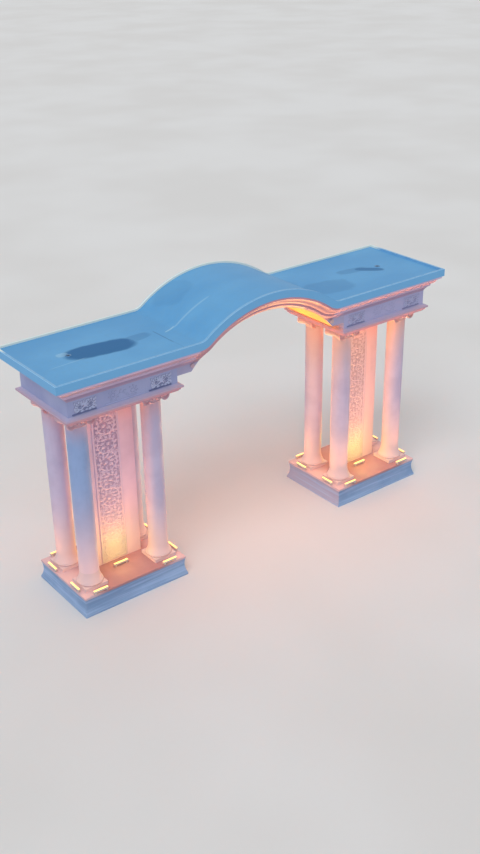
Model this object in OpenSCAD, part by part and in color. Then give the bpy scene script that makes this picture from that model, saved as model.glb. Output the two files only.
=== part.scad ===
// Ceremonial arch gate: two piers of four round columns round a carved panel,
// joined by a segmental vault under one long roof with a raised middle.
// Millimetres. X runs along the gate, Y to the rear, Z up. The origin is on
// the ground, midway between the piers.

/* [Piers] */
// Distance from the middle of the passage to the middle of each pier
pier_x = 4250; // [4150:10:4350]
// Length of a pier's deck and frieze, along the gate
pier_len = 3040; // [2940:10:3140]
// Width of a pier's deck and frieze, front to rear
pier_wid = 2264; // [2200:8:2400]

/* [Plinths] */
// Height of the scooped plinth, ground to the underside of the deck
plinth_h = 496; // [440:4:560]
// Thickness of the deck slab on the plinth
deck_t = 60; // [40:5:90]
// How far the deck slab stands proud of the plinth's top edge
deck_lip = 6; // [2:1:15]
// How far the plinth's foot spreads past its top edge
foot_out = 40; // [20:2:60]
// Height of the plinth's straight foot
foot_h = 50; // [30:5:80]
// Depth of the scoop in the plinth's sides
scoop_in = 42; // [25:1:55]

/* [Columns] */
// Height from the deck to the underside of the entablature
column_h = 4819; // [4600:1:4950]
// Radius of the column shafts
shaft_r = 257; // [235:1:270]
// From a pier's end face to the column axis, along the gate
end_inset = 472; // [440:4:520]
// From a pier's front or rear face to the column axis
side_inset = 550; // [500:5:600]
// Side of the square block under each column
block_side = 656; // [600:4:690]
// Height of the square block
block_h = 90; // [60:5:120]
// Radius over the round moulding at the foot
torus_r = 340; // [320:2:350]
// Thickness of the round moulding at the foot
torus_t = 70; // [50:5:90]
// Height of the hollow flare between foot moulding and shaft
flare_h = 270; // [200:10:320]
// How far the flare spreads past the shaft
flare_out = 68; // [50:2:72]

/* [Capitals] */
// Height of the capital
cap_h = 295; // [270:5:320]
// How far the neck bead stands out from the shaft
bead_out = 14; // [8:1:20]
// Thickness of the neck bead
bead_t = 34; // [24:2:40]
// From the column axis to the middle of a scroll
scroll_dx = 265; // [250:1:280]
// Radius of a scroll's round end
scroll_r = 125; // [116:1:130]
// Length of a scroll, front to rear
scroll_len = 600; // [580:5:620]
// Radius of a scroll's waist
waist_r = 85; // [76:1:100]
// Length of a scroll's straight round end
scroll_end = 45; // [35:1:60]
// Depth of the sunk ring in a scroll's end
scroll_sink = 14; // [8:1:20]
// Width of the rim round that sunk ring
scroll_rim = 26; // [18:1:34]
// Radius of the button in the middle of a scroll's end
eye_r = 32; // [26:1:40]
// How far the round cushion under the scrolls' band spreads past the shaft
cushion_out = 34; // [25:1:38]
// Height of that cushion
cushion_h = 70; // [50:2:80]
// Side of the thin square slab on top of the capital
abacus_side = 620; // [610:2:700]
// Thickness of that slab
abacus_t = 30; // [22:1:40]

/* [Carved panels] */
// Width of the wall between the columns
panel_w = 1600; // [1500:10:1660]
// Thickness of the wall between the columns
panel_t = 180; // [150:5:220]
// Width of the carved strip on each face of the wall
strip_w = 760; // [680:10:840]
// How far the carved strip stands out
strip_t = 22; // [15:1:35]
// Bare wall above and below the carved strip
strip_gap = 45; // [30:5:80]
// Width of the raised border round the strip's field
border_w = 48; // [36:2:60]
// How far the border stands out from the field
border_t = 14; // [8:1:20]

/* [Entablature] */
// Height of the bed moulding under the frieze
bed_h = 205; // [195:5:225]
// How far the bed moulding stands out from the frieze
bed_out = 110; // [90:5:120]
// Height of the plain frieze
frieze_h = 390; // [350:5:430]
// Height of the crown moulding between frieze and roof
crown_h = 430; // [400:5:460]
// How far the crown moulding stands out at its top
crown_out = 345; // [325:5:355]
// Width of an ornament plaque on the frieze
plaque_w = 540; // [480:10:600]
// Height of an ornament plaque on the frieze
plaque_h = 290; // [250:5:320]
// How far the plaques stand out
plaque_t = 14; // [8:1:24]
// Width of the middle ornament on the frieze
middle_w = 720; // [620:10:800]

/* [Roof] */
// Roof past the pier's end face, along the gate
end_over = 425; // [395:5:455]
// Roof past the pier's front and rear faces
side_over = 363; // [358:1:400]
// Height of the roof's fascia
fascia_h = 200; // [170:5:230]
// Thickness of the fascia's lip above the roof surface
lip_t = 20; // [12:1:30]
// Width of the raised rim inside the lip
rim_w = 50; // [40:2:80]
// Depth from the fascia's top down to the roof surface
pan_h = 45; // [35:1:60]
// How far the rim stands above the fascia
rim_proud = 6; // [2:1:12]
// From the pier's end face to the rainwater outlet
outlet_inset = 750; // [650:10:900]
// Radius of the rainwater outlet's hole
outlet_r = 45; // [35:1:55]

/* [Arch] */
// Rise of the roof's middle over its flat ends
hump_rise = 745; // [700:5:790]
// From the pier's inner face to where the roof starts to rise
hump_setback = 477; // [430:1:520]
// Radius of the hollow curve where the roof starts to rise
hollow_r = 375; // [300:5:450]
// Width of the level soffit beside the vault
shoulder_w = 422; // [380:2:460]
// Height of the level soffit above the frieze's bottom edge
shoulder_up = 180; // [150:5:210]
// Rise of the vault over the level soffit
vault_rise = 1020; // [980:5:1040]
// Radius of the round boss at the foot of the vault's edge
boss_r = 56; // [40:2:70]

/* [Light bars] */
// Length of a light bar
bar_len = 430; // [380:10:480]
// Width of a light bar's housing
bar_w = 60; // [45:1:70]
// Height of a light bar's housing
bar_h = 50; // [40:1:60]
// Height of the feet under a light bar
bar_foot = 40; // [25:1:60]
// From the carved strip to the light bar in front of it
strip_bar_gap = 235; // [200:5:260]

/* [Hidden] */

plaster = "#d9cfdc";
stone_white = "#e6e2ea";
roof_blue = "#8fb0c8";
rim_grey = "#cfd8dd";
lamp_grey = "#b9bcc0";

// Sides of the whole gate: the left pier mirrors the right one
LEFT = -1;
RIGHT = 1;

// How deep a scroll sits in the slab over it, and how high the scrolls' band starts over its middle
scroll_bite = 4;
band_up = 12;

// Levels, each from the one below
deck_z = plinth_h + deck_t;
bed_z = deck_z + column_h;
frieze_z = bed_z + bed_h;
crown_z = frieze_z + frieze_h;
slab_z = crown_z + crown_h;
top_z = slab_z + fascia_h;
base_top_z = deck_z + block_h + torus_t + flare_h;
cap_z = bed_z - cap_h;
scroll_z = bed_z - abacus_t - scroll_r + scroll_bite;

// Plan of a pier and of what stands on it
pier_hx = pier_len / 2;
pier_hy = pier_wid / 2;
col_dx = pier_hx - end_inset;
col_dy = pier_hy - side_inset;
inner_x = pier_x - pier_hx;
outer_x = pier_x + pier_hx;
roof_hx = outer_x + end_over;
roof_hy = pier_hy + side_over;
strip_h = column_h - 2 * strip_gap;

// The roof's line: a round hump between two hollow curves, tangent all along
hump_x = inner_x - hump_setback;
hump_r = (hump_x * hump_x + hump_rise * hump_rise) / (2 * hump_rise) - hollow_r;
hump_c = top_z + hump_rise - hump_r;
hollow_c = top_z + hollow_r;
hump_a = asin(hump_x / (hump_r + hollow_r));

// The vault's line
vault_x = inner_x - shoulder_w;
vault_z = frieze_z + shoulder_up;
vault_r = (vault_x * vault_x + vault_rise * vault_rise) / (2 * vault_rise);
vault_c = vault_z + vault_rise - vault_r;

// Shares of the mouldings' heights and reaches
cove_h = crown_h * 0.35;
cove_out = crown_out * 0.38;
step_h = crown_h * 0.14;
step_out = crown_out * 0.04;
ogee_h = crown_h * 0.38;
ogee_out = crown_out * 0.54;
wash_h = bed_h * 0.26;
nose_h = bed_h * 0.24;
bed_cove = bed_h * 0.28;
bed_quarter = bed_h * 0.19;

// Fits and small steps
cut = 60;
ledge_h = 24;
ledge_t = 26;
ledge_over = 40;
outlet_deep = 60;
outlet_ring = 34;
outlet_ring_t = 8;
foot_len = 30;
hairline = 0.4;
foot_in = 50;
boss_t = 34;
plaque_gap = 50;
large_fn = 360;
turn_step = 1.5;
shaft_fn = 72;
ring_fn = 48;

// How far the arcs of the mouldings' outlines bow, as shares of their width
cove_bow = 0.15;
ogee_bow = 0.06;
quarter_bow = 0.29;

// Points from a to b on an arc that bows s to the left of the straight way; b is left out
function bow(a, b, s, n = 6) =
    let (d = b - a, w = norm(d), r = (w * w / 4 + s * s) / (2 * s),
         c = (a + b) / 2 + [-d[1], d[0]] / w * (s - r),
         t = atan2(a[1] - c[1], a[0] - c[0]))
    [for (i = [0 : n - 1])
        let (q = t - 2 * asin(w / (2 * r)) * i / n)
        c + abs(r) * [cos(q), sin(q)]];

// Outline of the crown moulding, outwards and upwards from the frieze's top edge
function crown_edge() =
    let (cove = [cove_out, cove_h],
         step = [cove_out + step_out, cove_h + step_h],
         turn = step + [ogee_out, ogee_h] / 2,
         tip = step + [ogee_out, ogee_h])
    concat(bow([0, 0], cove, cove_out * cove_bow), [cove, [cove_out, step[1]]],
           bow(step, turn, -ogee_out * ogee_bow), bow(turn, tip, ogee_out * ogee_bow),
           [tip, [crown_out, tip[1]], [crown_out, crown_h]]);

// Outline of the bed moulding, from its soffit up to the frieze
function bed_edge() =
    let (lip = [bed_out - bed_cove, bed_h - wash_h - nose_h - bed_cove],
         nose = [bed_out, bed_h - wash_h - nose_h])
    concat(bow([lip[0] - bed_quarter, 0], [lip[0], bed_quarter], bed_quarter * quarter_bow),
           [[lip[0], bed_quarter]], bow(lip, nose, bed_cove * quarter_bow),
           [nose, [bed_out, bed_h - wash_h], [0, bed_h]]);

// Outline of the plinth's side, from the ground up to the deck
function plinth_edge() =
    concat([[foot_out, 0]], bow([foot_out, foot_h], [0, plinth_h], scoop_in, 10), [[0, plinth_h]]);

// Solid under a moulding's outline that runs along X, hy out to both sides
module run_x(edge, hy, x0, x1) {
    right = [for (q = edge) [hy + q[0], q[1]]];
    left = [for (q = turned(edge)) [-hy - q[0], q[1]]];
    translate([x0, 0, 0])
        rotate([90, 0, 90])
            linear_extrude(x1 - x0)
                polygon(concat(right, left));
}

// Solid under a moulding's outline that runs along Y, from x0 out to hx
module run_y(edge, x0, hx, y1) {
    translate([0, y1, 0])
        rotate([90, 0, 0])
            linear_extrude(2 * y1)
                polygon(concat([[x0, edge[0][1]]], [for (q = edge) [hx + q[0], q[1]]],
                               [[x0, edge[len(edge) - 1][1]]]));
}

// Block with a moulded edge on all four sides, centred on a pier
module moulded_block(edge) {
    intersection() {
        run_x(edge, pier_hy, -pier_len, pier_len);
        rotate([0, 0, 90])
            run_x(edge, pier_hx, -pier_len, pier_len);
    }
}

// Children drawn for the right pier are put on the side asked for
module on_side(side) {
    if (side == LEFT) mirror([1, 0, 0]) children();
    else children();
}

// Children at each column of a pier
module at_columns() {
    for (sx = [-1, 1])
        for (sy = [-1, 1])
            translate([pier_x + sx * col_dx, sy * col_dy, 0]) children();
}

// Points on an arc round c from angle a0 to a1, in steps of about turn_step
function arc(c, r, a0, a1) =
    let (n = ceil(abs(a1 - a0) / turn_step))
    [for (i = [0 : n])
        let (q = a0 + (a1 - a0) * i / n)
        c + r * [cos(q), sin(q)]];

// A list without its first and last point
function inside(list) = [for (i = [1 : len(list) - 2]) list[i]];

// A list from its last point to its first
function turned(list) = [for (i = [len(list) - 1 : -1 : 0]) list[i]];

// The roof's line from left to right, lowered by d all along
function roof_line(d) =
    concat(arc([-hump_x, hollow_c], hollow_r + d, 270, 270 + hump_a),
           inside(arc([0, hump_c], hump_r - d, 90 + hump_a, 90 - hump_a)),
           arc([hump_x, hollow_c], hollow_r + d, 270 - hump_a, 270));

// Plate w wide whose side view is the outline, its front face at y0
module side_plate(outline, y0, w) {
    translate([0, y0 + w, 0])
        rotate([90, 0, 0])
            linear_extrude(w)
                polygon(outline);
}

// Band between two depths under the roof's line, w wide, its front face at y0
module hump_band(d0, d1, y0, w) {
    side_plate(concat(roof_line(d0), turned(roof_line(d1))), y0, w);
}

module plinth(side) {
    color(stone_white)
        on_side(side)
            translate([pier_x, 0, 0])
                moulded_block(plinth_edge());
}

module deck(side) {
    lx = pier_len + 2 * deck_lip;
    ly = pier_wid + 2 * deck_lip;
    color(stone_white)
        on_side(side)
            translate([pier_x - lx / 2, -ly / 2, plinth_h])
                cube([lx, ly, deck_t]);
}

// Square block, round moulding and hollow flare under a shaft
module column_base() {
    torus_z = deck_z + block_h;
    flare_z = torus_z + torus_t;
    flare_r = (flare_h * flare_h + flare_out * flare_out) / (2 * flare_out);
    translate([-block_side / 2, -block_side / 2, deck_z])
        cube([block_side, block_side, block_h]);
    rotate_extrude($fn = shaft_fn) {
        translate([0, torus_z])
            square([torus_r - torus_t / 2, torus_t]);
        translate([torus_r - torus_t / 2, torus_z + torus_t / 2])
            circle(torus_t / 2, $fn = ring_fn);
        difference() {
            translate([0, flare_z])
                square([shaft_r + flare_out, flare_h]);
            translate([shaft_r + flare_r, base_top_z])
                circle(flare_r, $fn = large_fn);
        }
    }
}

module column_bases(side) {
    color(plaster)
        on_side(side)
            at_columns() column_base();
}

module column(side, sx, sy) {
    color(plaster)
        on_side(side)
            translate([pier_x + sx * col_dx, sy * col_dy, base_top_z])
                cylinder(h = cap_z - base_top_z, r = shaft_r, $fn = shaft_fn);
}

// One scroll of a capital: a roll along Y with a narrow waist, its round ends sunk round a button
module scroll() {
    waist_y = scroll_len / 2 - scroll_end;
    waist_in = scroll_r - waist_r;
    bow_r = (waist_y * waist_y + waist_in * waist_in) / (2 * waist_in);
    translate([scroll_dx, 0, scroll_z])
        rotate([90, 0, 0])
            rotate_extrude($fn = shaft_fn)
                difference() {
                    translate([0, -scroll_len / 2])
                        square([scroll_r, scroll_len]);
                    translate([waist_r + bow_r, 0])
                        circle(bow_r, $fn = large_fn);
                    for (s = [-1, 1])
                        translate([eye_r, s * scroll_len / 2 - scroll_sink])
                            square([scroll_r - scroll_rim - eye_r, 2 * scroll_sink]);
                }
}

// Neck bead, round cushion, two scrolls with the band between them, and a thin square slab
module capital() {
    cushion_z = scroll_z + band_up + scroll_bite;
    cushion_r = (cushion_h * cushion_h + cushion_out * cushion_out) / (2 * cushion_out);
    band_x = scroll_dx - scroll_rim;
    band_y = scroll_len / 2 - scroll_sink;
    rotate_extrude($fn = shaft_fn) {
        translate([0, cap_z])
            square([shaft_r + bead_out - bead_t / 2, bead_t]);
        translate([shaft_r + bead_out - bead_t / 2, cap_z + bead_t / 2])
            circle(bead_t / 2, $fn = ring_fn);
        translate([0, cap_z])
            square([shaft_r, cushion_z - cap_z]);
        intersection() {
            translate([shaft_r + cushion_out - cushion_r, cushion_z])
                circle(cushion_r, $fn = large_fn);
            translate([0, cushion_z - cushion_h])
                square([shaft_r + cushion_out, cushion_h]);
        }
    }
    translate([-band_x, -band_y, scroll_z + band_up])
        cube([2 * band_x, 2 * band_y, scroll_r - band_up]);
    scroll();
    mirror([1, 0, 0]) scroll();
    translate([-abacus_side / 2, -abacus_side / 2, bed_z - abacus_t])
        cube([abacus_side, abacus_side, abacus_t]);
}

module capitals(side) {
    color(plaster)
        on_side(side)
            at_columns() capital();
}

module panel_wall(side) {
    color(plaster)
        on_side(side)
            translate([pier_x - panel_w / 2, -panel_t / 2, deck_z])
                cube([panel_w, panel_t, column_h]);
}

// One carved strip: a field with a raised border, standing on the wall's front
module carved_strip() {
    difference() {
        translate([pier_x - strip_w / 2, -panel_t / 2 - strip_t, deck_z + strip_gap])
            cube([strip_w, strip_t, strip_h]);
        translate([pier_x - strip_w / 2 + border_w, -panel_t / 2 - strip_t - cut,
                   deck_z + strip_gap + border_w])
            cube([strip_w - 2 * border_w, border_t + cut, strip_h - 2 * border_w]);
    }
}

module carved_strips(side) {
    color(plaster)
        on_side(side) {
            carved_strip();
            mirror([0, 1, 0]) carved_strip();
        }
}

module bed_moulding(side) {
    color(plaster)
        on_side(side)
            translate([pier_x, 0, bed_z])
                moulded_block(bed_edge());
}

module frieze(side) {
    color(plaster)
        on_side(side)
            translate([inner_x, -pier_hy, frieze_z])
                cube([pier_len, pier_wid, slab_z - frieze_z]);
}

// Plaque over a column with the small ledge under it
module plaque(x) {
    z = frieze_z + plaque_gap;
    translate([x - plaque_w / 2, -pier_hy - plaque_t, z])
        cube([plaque_w, plaque_t, plaque_h]);
    translate([x - plaque_w / 2 - ledge_over, -pier_hy - ledge_t, z - ledge_h])
        cube([plaque_w + 2 * ledge_over, ledge_t, ledge_h]);
}

module front_plaques() {
    for (sx = [-1, 1])
        plaque(pier_x + sx * col_dx);
    translate([pier_x - middle_w / 2, -pier_hy - plaque_t / 2, frieze_z + plaque_gap])
        cube([middle_w, plaque_t / 2, plaque_h]);
}

module frieze_plaques(side) {
    color(plaster)
        on_side(side) {
            front_plaques();
            mirror([0, 1, 0]) front_plaques();
        }
}

// The crown moulding goes round the pier's front, end and rear
module crown_moulding(side) {
    color(plaster)
        on_side(side)
            difference() {
                translate([0, 0, crown_z])
                    intersection() {
                        run_x(crown_edge(), pier_hy, hump_x, roof_hx + cut);
                        run_y(crown_edge(), hump_x - cut, outer_x, roof_hy + cut);
                    }
                translate([hump_x - cut, -pier_hy, crown_z - cut])
                    cube([outer_x - hump_x + cut, pier_wid, crown_h + 2 * cut]);
            }
}

module roof(side) {
    color(roof_blue)
        on_side(side)
            difference() {
                translate([hump_x, -roof_hy, slab_z])
                    cube([roof_hx - hump_x, 2 * roof_hy, fascia_h]);
                translate([hump_x - cut, -roof_hy + lip_t, top_z - pan_h])
                    cube([roof_hx - hump_x - lip_t + cut, 2 * (roof_hy - lip_t), pan_h + cut]);
                translate([outer_x - outlet_inset, 0, top_z - pan_h - outlet_deep])
                    cylinder(h = outlet_deep + cut, r = outlet_r, $fn = shaft_fn);
            }
}

// The raised rim inside the fascia's lip, on the three free sides
module roof_rim(side) {
    color(rim_grey)
        on_side(side)
            difference() {
                translate([hump_x, -roof_hy + lip_t, top_z - pan_h])
                    cube([roof_hx - hump_x - lip_t, 2 * (roof_hy - lip_t), pan_h + rim_proud]);
                translate([hump_x - cut, -roof_hy + lip_t + rim_w, top_z - pan_h - cut])
                    cube([roof_hx - hump_x - lip_t - rim_w + cut,
                          2 * (roof_hy - lip_t - rim_w), pan_h + 3 * cut]);
            }
}

// Light bar along X on two feet, its middle at the origin
module light_bar() {
    translate([-bar_len / 2, -bar_w / 2, bar_foot])
        cube([bar_len, bar_w, bar_h]);
    for (s = [-1, 1])
        translate([s * (bar_len / 2 - foot_in) - foot_len / 2, -bar_w / 2, 0])
            cube([foot_len, bar_w, bar_foot]);
}

module light_bars(side) {
    bar_x = pier_hx - bar_w / 2;
    bar_y = pier_hy - bar_w / 2;
    strip_y = panel_t / 2 + strip_t + strip_bar_gap + bar_w / 2;
    color(lamp_grey)
        on_side(side)
            translate([pier_x, 0, deck_z])
                for (sy = [-1, 1]) {
                    for (sx = [-1, 1]) {
                        translate([sx * col_dx, sy * bar_y, 0]) light_bar();
                        translate([sx * bar_x, sy * col_dy, 0]) rotate([0, 0, 90]) light_bar();
                    }
                    translate([0, sy * strip_y, 0]) light_bar();
                }
}

// The vault's hollow, right through from front to rear
module vault_hollow() {
    translate([0, roof_hy + cut, vault_c])
        rotate([90, 0, 0])
            cylinder(h = 2 * (roof_hy + cut), r = vault_r, $fn = large_fn);
}

// Solid between the roof's line, the level soffits and the vault's round soffit
module arch_vault() {
    vault_a = asin(vault_x / vault_r);
    soffit = arc([0, vault_c], vault_r, 90 - vault_a, 90 + vault_a);
    color(plaster)
        side_plate(concat(roof_line(fascia_h), [[inner_x, slab_z], [inner_x, vault_z]], soffit,
                          [[-inner_x, vault_z], [-inner_x, slab_z]]),
                   -pier_hy, pier_wid);
}

// Moulding swept by a angles round Y: r0 is its bottom's radius, up is 1 where its top lies
// further out, and -1 where its top lies nearer to the centre
module swept_moulding(r0, up, a) {
    edge = crown_edge();
    rotate([90, 0, 0])
        rotate_extrude(angle = a, $fn = large_fn)
            polygon(concat([for (q = edge) [r0 + up * q[1], pier_hy + q[0]]],
                           [[r0 + up * crown_h, pier_hy]]));
}

// The crown moulding follows the roof's line in three lengths, cut off below by the vault
module arch_front_moulding() {
    depth = fascia_h + crown_h + hairline;
    joint_a = 2 * asin(hairline / (2 * hump_r));
    color(plaster)
        difference() {
            union() {
                translate([0, 0, hump_c])
                    rotate([0, hump_a - joint_a - 90, 0])
                        swept_moulding(hump_r - depth, 1, 2 * (hump_a - joint_a));
                for (s = [0, 1])
                    mirror([s, 0, 0])
                        translate([hump_x, 0, hollow_c])
                            rotate([0, 90 + hump_a, 0])
                                swept_moulding(hollow_r + depth, -1, hump_a);
            }
            vault_hollow();
        }
}

module arch_rear_moulding() {
    mirror([0, 1, 0]) arch_front_moulding();
}

module arch_roof() {
    color(roof_blue)
        difference() {
            hump_band(0, fascia_h, -roof_hy, 2 * roof_hy);
            hump_band(-cut, pan_h, -roof_hy + lip_t, 2 * (roof_hy - lip_t));
        }
}

module arch_roof_rims() {
    color(rim_grey)
        for (s = [0, 1])
            mirror([0, s, 0])
                hump_band(-rim_proud, pan_h, -roof_hy + lip_t, rim_w);
}

module arch_bosses() {
    color(plaster)
        for (sx = [-1, 1])
            for (sy = [0, 1])
                mirror([0, sy, 0])
                    translate([sx * (vault_x - boss_r / 2), -pier_hy, crown_z - boss_r])
                        rotate([90, 0, 0])
                            cylinder(h = boss_t, r = boss_r, $fn = shaft_fn);
}

module roof_outlets() {
    color(lamp_grey)
        for (s = [-1, 1])
            translate([s * (outer_x - outlet_inset), 0, top_z - pan_h])
                difference() {
                    cylinder(h = outlet_ring_t, r = outlet_r + outlet_ring, $fn = shaft_fn);
                    translate([0, 0, -cut])
                        cylinder(h = 3 * cut, r = outlet_r, $fn = shaft_fn);
                }
}

plinth(LEFT);  // left_plinth
deck(LEFT);  // left_deck
column_bases(LEFT);  // left_column_bases
column(LEFT, 1, -1);  // left_front_outer_column
column(LEFT, -1, -1);  // left_front_inner_column
column(LEFT, 1, 1);  // left_rear_outer_column
column(LEFT, -1, 1);  // left_rear_inner_column
capitals(LEFT);  // left_capitals
panel_wall(LEFT);  // left_panel_wall
carved_strips(LEFT);  // left_carved_strips
bed_moulding(LEFT);  // left_bed_moulding
frieze(LEFT);  // left_frieze
frieze_plaques(LEFT);  // left_frieze_plaques
crown_moulding(LEFT);  // left_crown_moulding
roof(LEFT);  // left_roof
roof_rim(LEFT);  // left_roof_rim
light_bars(LEFT);  // left_light_bars
plinth(RIGHT);  // right_plinth
deck(RIGHT);  // right_deck
column_bases(RIGHT);  // right_column_bases
column(RIGHT, 1, -1);  // right_front_outer_column
column(RIGHT, -1, -1);  // right_front_inner_column
column(RIGHT, 1, 1);  // right_rear_outer_column
column(RIGHT, -1, 1);  // right_rear_inner_column
capitals(RIGHT);  // right_capitals
panel_wall(RIGHT);  // right_panel_wall
carved_strips(RIGHT);  // right_carved_strips
bed_moulding(RIGHT);  // right_bed_moulding
frieze(RIGHT);  // right_frieze
frieze_plaques(RIGHT);  // right_frieze_plaques
crown_moulding(RIGHT);  // right_crown_moulding
roof(RIGHT);  // right_roof
roof_rim(RIGHT);  // right_roof_rim
light_bars(RIGHT);  // right_light_bars
arch_vault();
arch_front_moulding();
arch_rear_moulding();
arch_roof();
arch_roof_rims();
arch_bosses();
roof_outlets();
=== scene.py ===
# %% [markdown]
# # A ceremonial entrance arch, dressed for its portrait
#
# Two piers of four round columns stand on scooped plinths and carry one long flat roof, whose middle rises in a
# round hump over the passage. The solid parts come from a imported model, the frame. This lesson gives them their
# paint, wear and light, and adds what is too fine for solids: carved vines and sprays, the capitals' spirals, lit
# lamp covers and the grates of the rainwater outlets.

import itertools
import math

import bmesh
import bpy
from mathutils import Matrix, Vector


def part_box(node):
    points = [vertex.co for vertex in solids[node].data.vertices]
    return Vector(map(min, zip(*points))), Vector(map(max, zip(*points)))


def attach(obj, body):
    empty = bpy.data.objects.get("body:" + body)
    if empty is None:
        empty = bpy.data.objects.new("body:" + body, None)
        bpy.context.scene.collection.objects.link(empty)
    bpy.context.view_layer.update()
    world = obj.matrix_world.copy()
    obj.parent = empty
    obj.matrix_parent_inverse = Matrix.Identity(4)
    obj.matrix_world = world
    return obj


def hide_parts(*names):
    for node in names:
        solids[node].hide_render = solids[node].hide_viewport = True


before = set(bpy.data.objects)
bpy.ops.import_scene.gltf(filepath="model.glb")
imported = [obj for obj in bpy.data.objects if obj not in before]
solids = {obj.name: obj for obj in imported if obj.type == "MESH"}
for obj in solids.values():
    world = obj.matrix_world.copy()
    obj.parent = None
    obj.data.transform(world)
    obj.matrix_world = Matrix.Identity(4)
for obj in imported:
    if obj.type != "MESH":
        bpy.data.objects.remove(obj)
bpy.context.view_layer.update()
SIDES = ("left", "right")

# %% [markdown]
# ## Measure before adding
# A new piece takes its place from the box of the solid that carries it, so it would still fit if the solid moved.
# Only a few sizes can't be told from a box, such as the border of a carved strip. They stand where they are first
# needed.

# %% Where the piers, columns, beams and levels are


def middle(name):
    low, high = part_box(name)
    return [(a + b) / 2 for a, b in zip(low, high)]


def column_axes(side):
    """Centres of a pier's four shafts, seen from above, as (x, y)."""
    names = [f"{side}_{row}_{place}_column" for row in ("front", "rear") for place in ("outer", "inner")]
    return [tuple(middle(name)[:2]) for name in names]


def both(*names):
    """The names of both piers' solids."""
    return [f"{side}_{name}" for side in SIDES for name in names]


pier_x = {side: middle(f"{side}_deck")[0] for side in SIDES}
deck_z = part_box("left_deck")[1][2]
beam_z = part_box("left_bed_moulding")[0][2]
frieze_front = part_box("left_frieze")[0][1]
print("pier middles", pier_x, "deck", round(deck_z, 3), "beam", round(beam_z, 3))

# %% [markdown]
# ## The camera
# The photograph was taken from above, to the left and in front, and turned a little. Its place and its turn were
# worked out from the arch's own straight edges. The lens follows from how many pixels one unit of slope covers. The
# picture is upright, so the sensor's long side lies along its height.

# %% Place the camera
CAMERA_PLACE = (-16.133, -21.181, 16.592)
CAMERA_YAW = 37.322
CAMERA_DIP = 26.961
CAMERA_ROLL = -0.991
PIXELS_PER_SLOPE = 1089.565
IMAGE_HIGH = 854
SENSOR = 36.0
CLIP_END = 500


def rotation(degrees, axis):
    return Matrix.Rotation(math.radians(degrees), 4, axis)


lens = bpy.data.cameras.new("camera")
lens.sensor_width = SENSOR
lens.lens = PIXELS_PER_SLOPE * SENSOR / IMAGE_HIGH
lens.clip_end = CLIP_END
camera = bpy.data.objects.new("camera", lens)
bpy.context.scene.collection.objects.link(camera)
camera.matrix_world = (Matrix.Translation(CAMERA_PLACE) @ rotation(-CAMERA_YAW, "Z")
                       @ rotation(90 - CAMERA_DIP, "X") @ rotation(CAMERA_ROLL, "Z"))
bpy.context.scene.camera = camera
print("lens", round(lens.lens, 2), "mm")

# %% [markdown]
# ## A small toolbox for shader trees
# A material is a tree of nodes. Short helpers keep its recipe readable: one adds a node, one fills a socket with a
# number, a colour or another node's output, and the others do sums, mix colours, and make soft steps and noise.

# %% Helpers that add and join shader nodes


def add(tree, kind, **settings):
    made = tree.nodes.new("ShaderNode" + kind)
    for key, value in settings.items():
        setattr(made, key, value)
    return made


def fill(tree, socket, value):
    if isinstance(value, bpy.types.NodeSocket):
        tree.links.new(value, socket)
    else:
        socket.default_value = value


def sums(tree, operation, first, second=0.0):
    made = add(tree, "Math", operation=operation)
    fill(tree, made.inputs[0], first)
    fill(tree, made.inputs[1], second)
    return made.outputs[0]


def mix(tree, share, one, other):
    made = add(tree, "Mix", data_type="RGBA")
    factor, colour_a, colour_b, result = made.inputs[0], made.inputs[6], made.inputs[7], made.outputs[2]
    fill(tree, factor, share)
    fill(tree, colour_a, one)
    fill(tree, colour_b, other)
    return result


def between(tree, value, low, high, to_low=0.0, to_high=1.0):
    """Turns the range low to high into a soft step from to_low to to_high."""
    made = add(tree, "MapRange", interpolation_type="SMOOTHSTEP")
    for socket, given in zip(made.inputs, (value, low, high, to_low, to_high)):
        fill(tree, socket, given)
    return made.outputs[0]


def clouds(tree, where, scale, detail=3.0, roughness=0.55, distortion=0.0):
    made = add(tree, "TexNoise")
    fill(tree, made.inputs["Vector"], where)
    for name, value in (("Scale", scale), ("Detail", detail), ("Roughness", roughness),
                        ("Distortion", distortion)):
        fill(tree, made.inputs[name], value)
    return made.outputs["Fac"]


scratch = bpy.data.node_groups.new("scratch", "ShaderNodeTree")
sums(scratch, "ADD", between(scratch, 0.5, 0.0, 1.0), 1.0)
print("a soft step and a sum make", len(scratch.nodes), "nodes and", len(scratch.links), "link")
bpy.data.node_groups.remove(scratch)

# %% [markdown]
# A pattern needs a place, and wear needs a direction. Object coordinates give the place, because they stay on the
# piece from every side. The surface's normal gives the direction: its Z is 1 on a floor and -1 on a ceiling.

# %% Helpers that read places and directions, and take a painter's colours


def placed(tree, middle=(0, 0, 0), size=(1, 1, 1), turned=0.0):
    """The piece's own coordinates, seen from a spot of the given size, turned about the vertical."""
    made = add(tree, "Mapping", vector_type="TEXTURE")
    fill(tree, made.inputs["Vector"], add(tree, "TexCoord").outputs["Object"])
    made.inputs["Location"].default_value = middle
    made.inputs["Rotation"].default_value = (0, 0, math.radians(turned))
    made.inputs["Scale"].default_value = size
    return made.outputs["Vector"]


def axis_of(tree, vector, axis):
    split = add(tree, "SeparateXYZ")
    fill(tree, split.inputs[0], vector)
    return split.outputs[axis]


def part_of(tree, source, axis):
    """One axis of the place of a point, or of the direction that its surface faces."""
    return axis_of(tree, placed(tree) if source == "place" else add(tree, "NewGeometry").outputs["Normal"], axis)


def paint(red, green, blue):
    """A colour as a painter's chart gives it, 0 to 255, in the linear values that shaders expect."""
    def linear(value):
        value /= 255
        return value / 12.92 if value <= 0.04045 else ((value + 0.055) / 1.055) ** 2.4
    return (linear(red), linear(green), linear(blue), 1.0)


print("white is", [round(v, 3) for v in paint(255, 255, 255)])

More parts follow.
